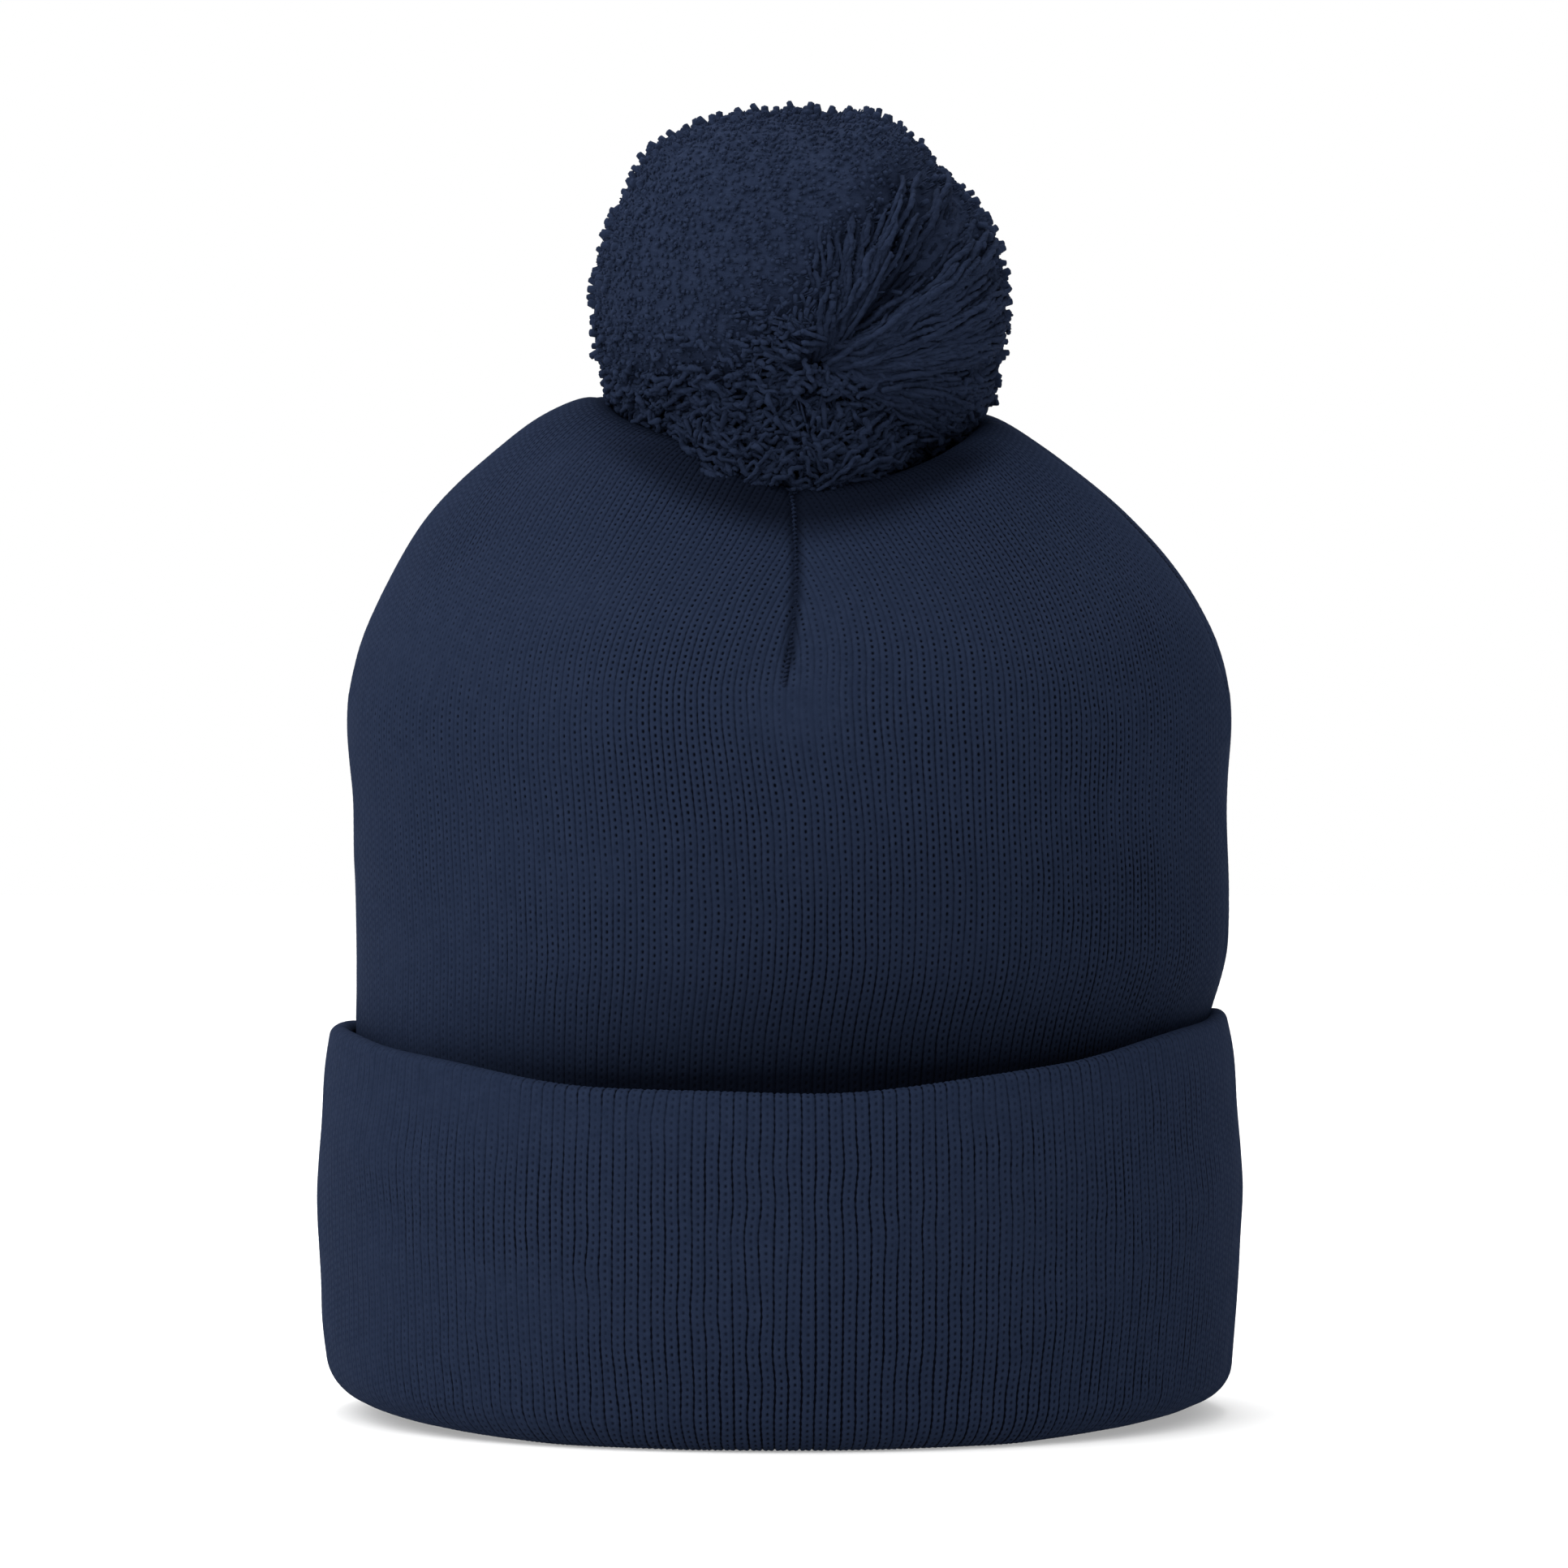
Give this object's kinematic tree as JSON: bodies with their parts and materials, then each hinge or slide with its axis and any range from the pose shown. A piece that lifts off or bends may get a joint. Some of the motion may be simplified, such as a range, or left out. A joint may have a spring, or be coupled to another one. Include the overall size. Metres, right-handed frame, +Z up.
{
  "type": "pom pom beanie",
  "caption": "Navy double-layer knitted beanie with a deep turned-up cuff, darted crown and a yarn pom tied on top; it stands on the fold of its cuff.",
  "frame": {"origin": "centre of the object's box, on the surface that the folded edge of the cuff stands on", "axes": "+Z up through the crown, +X to the right of a viewer in front, +Y to the back of the hat"},
  "size_m": [0.1712, 0.1834, 0.242],
  "materials": {
    "knit": "matt acrylic stockinette knit, navy",
    "seam_thread": "matt overlock thread, navy",
    "pom_yarn": "cut acrylic yarn, soft and matt, navy",
    "tie_cord": "twisted tie cord, navy",
    "label_satin": "woven satin ribbon, off-white, blank",
    "label_thread": "sewing thread, navy"
  },
  "bodies": {
    "hat": {"outer_knit_layer": "knit", "inner_knit_layer": "knit", "cuff_outer_layer": "knit", "cuff_inner_layer": "knit", "front_dart_seam": "seam_thread", "back_dart_seam": "seam_thread", "left_dart_seam": "seam_thread", "right_dart_seam": "seam_thread", "lining_front_seam": "seam_thread", "lining_back_seam": "seam_thread", "lining_left_seam": "seam_thread", "lining_right_seam": "seam_thread", "crown_gathering_thread": "seam_thread", "pompom_tails": "tie_cord", "anchor_knot": "tie_cord", "label_stitches": "label_thread"},
    "pom_knot": {"pompom_tie_knot": "tie_cord"},
    "pom_tie": {"pompom_tie_wrap": "tie_cord"},
    "pom": {"pompom_yarn": "pom_yarn"},
    "label": {"care_label": "label_satin"}
  },
  "joints": [
    {"name": "pom_twist", "type": "hinge", "parent": "hat", "child": "pom_knot", "pos_m": [0.0034, -0.012, 0.2035], "axis": [0, 0, 1], "range_deg": [-40, 40], "stiffness_Nm_per_rad": 0.01},
    {"name": "pom_nod", "type": "hinge", "parent": "pom_knot", "child": "pom_tie", "pos_m": [0.0034, -0.012, 0.2035], "axis": [1, 0, 0], "range_deg": [-18, 18], "stiffness_Nm_per_rad": 0.01},
    {"name": "pom_sway", "type": "hinge", "parent": "pom_tie", "child": "pom", "pos_m": [0.0034, -0.012, 0.2035], "axis": [0, 1, 0], "range_deg": [-18, 18], "stiffness_Nm_per_rad": 0.01},
    {"name": "label_flap", "type": "hinge", "parent": "hat", "child": "label", "pos_m": [0.002, 0.07726, 0.1275], "axis": [-1, 0, 0], "range_deg": [0, 80]}
  ]
}
